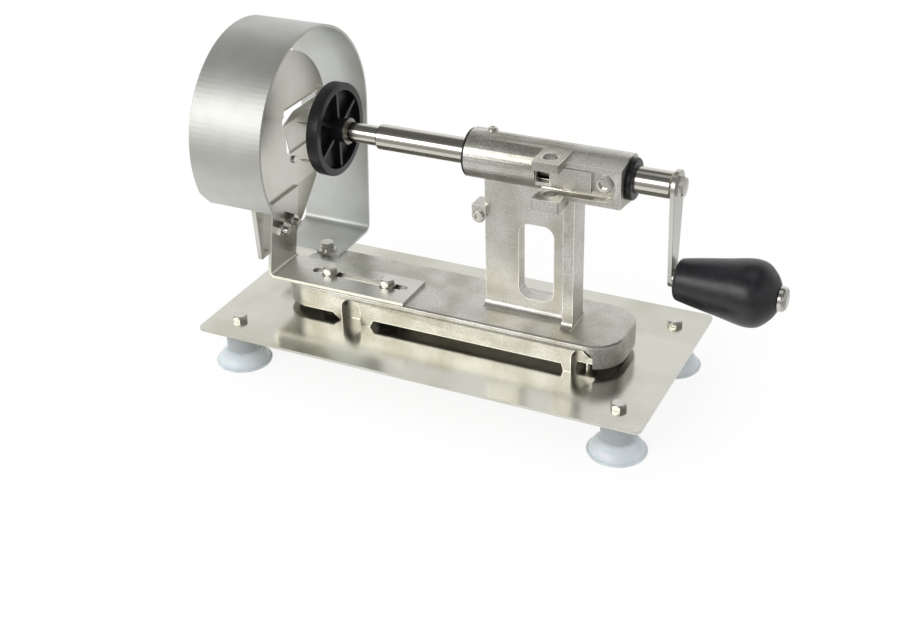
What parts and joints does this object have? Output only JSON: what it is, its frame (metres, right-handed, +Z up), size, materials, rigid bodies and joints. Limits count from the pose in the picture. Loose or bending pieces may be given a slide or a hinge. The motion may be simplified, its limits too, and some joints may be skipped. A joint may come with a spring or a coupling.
{
  "type": "tornado potato cutter",
  "caption": "Hand-cranked spiral potato cutter: a pusher with prongs on a sliding, turning shaft drives a potato through a round blade plate under a hoop guard; suction feet",
  "frame": {"origin": "middle of the bounding box in plan, at the rims of the suction cups", "axes": "+X along the shaft from the blade to the crank, +Y to the back, the side away from the lugs, +Z up"},
  "size_m": [0.4082, 0.165, 0.242],
  "materials": {
    "plate_steel": "brushed stainless sheet, long straight grain",
    "guard_steel": "brushed stainless strip, rolled to a hoop",
    "blade_steel": "fine satin stainless blade sheet",
    "cast_steel": "investment cast stainless, grainy with polished edges",
    "shaft_steel": "ground and polished stainless bar",
    "fastener_steel": "bright stainless fasteners",
    "bush_plastic": "moulded black plastic",
    "pusher_plastic": "moulded black nylon, fine matt",
    "knob_plastic": "turned black plastic, satin",
    "cup_rubber": "translucent pale blue-grey suction cup"
  },
  "bodies": {
    "frame": {"base_plate": "plate_steel", "foot_left_front": "cup_rubber", "foot_left_back": "cup_rubber", "foot_right_front": "cup_rubber", "foot_right_back": "cup_rubber", "foot_bolts": "fastener_steel", "main_casting": "cast_steel", "bed_screws": "fastener_steel", "blade_side_bush": "bush_plastic", "crank_side_bush": "bush_plastic", "housing_screw": "fastener_steel", "column_lug_screw": "fastener_steel", "tube_set_screw": "fastener_steel", "bracket_bolts": "fastener_steel", "bracket_washers": "fastener_steel", "guard": "guard_steel", "guard_washers": "fastener_steel", "guard_bolt": "fastener_steel"},
    "blade_carrier": {"blade_bracket": "plate_steel", "blade_plate": "blade_steel", "spiral_blade": "blade_steel", "blade_screws": "fastener_steel", "backing_plate": "plate_steel", "plate_bolts": "fastener_steel", "plate_nuts": "fastener_steel"},
    "quill": {"quill": "shaft_steel"},
    "crank": {"spindle": "shaft_steel", "pusher_collar": "shaft_steel", "pusher_wheel": "pusher_plastic", "pusher_prongs": "shaft_steel", "pusher_spike": "shaft_steel", "crank_arm": "plate_steel", "crank_bolt": "fastener_steel", "knob_washer": "fastener_steel", "knob_bolt": "fastener_steel"},
    "knob": {"knob": "knob_plastic"}
  },
  "joints": [
    {"name": "feed", "type": "slide", "parent": "frame", "child": "quill", "axis": [1, 0, 0], "range_m": [-0.012, 0.09]},
    {"name": "spindle_spin", "type": "hinge", "parent": "quill", "child": "crank", "pos_m": [0, 0, 0.171], "axis": [1, 0, 0], "continuous": true},
    {"name": "knob_spin", "type": "hinge", "parent": "crank", "child": "knob", "pos_m": [0, 0, 0.1045], "axis": [1, 0, 0], "continuous": true},
    {"name": "bracket_adjust", "type": "slide", "parent": "frame", "child": "blade_carrier", "axis": [1, 0, 0], "range_m": [-0.006, 0.006]}
  ]
}
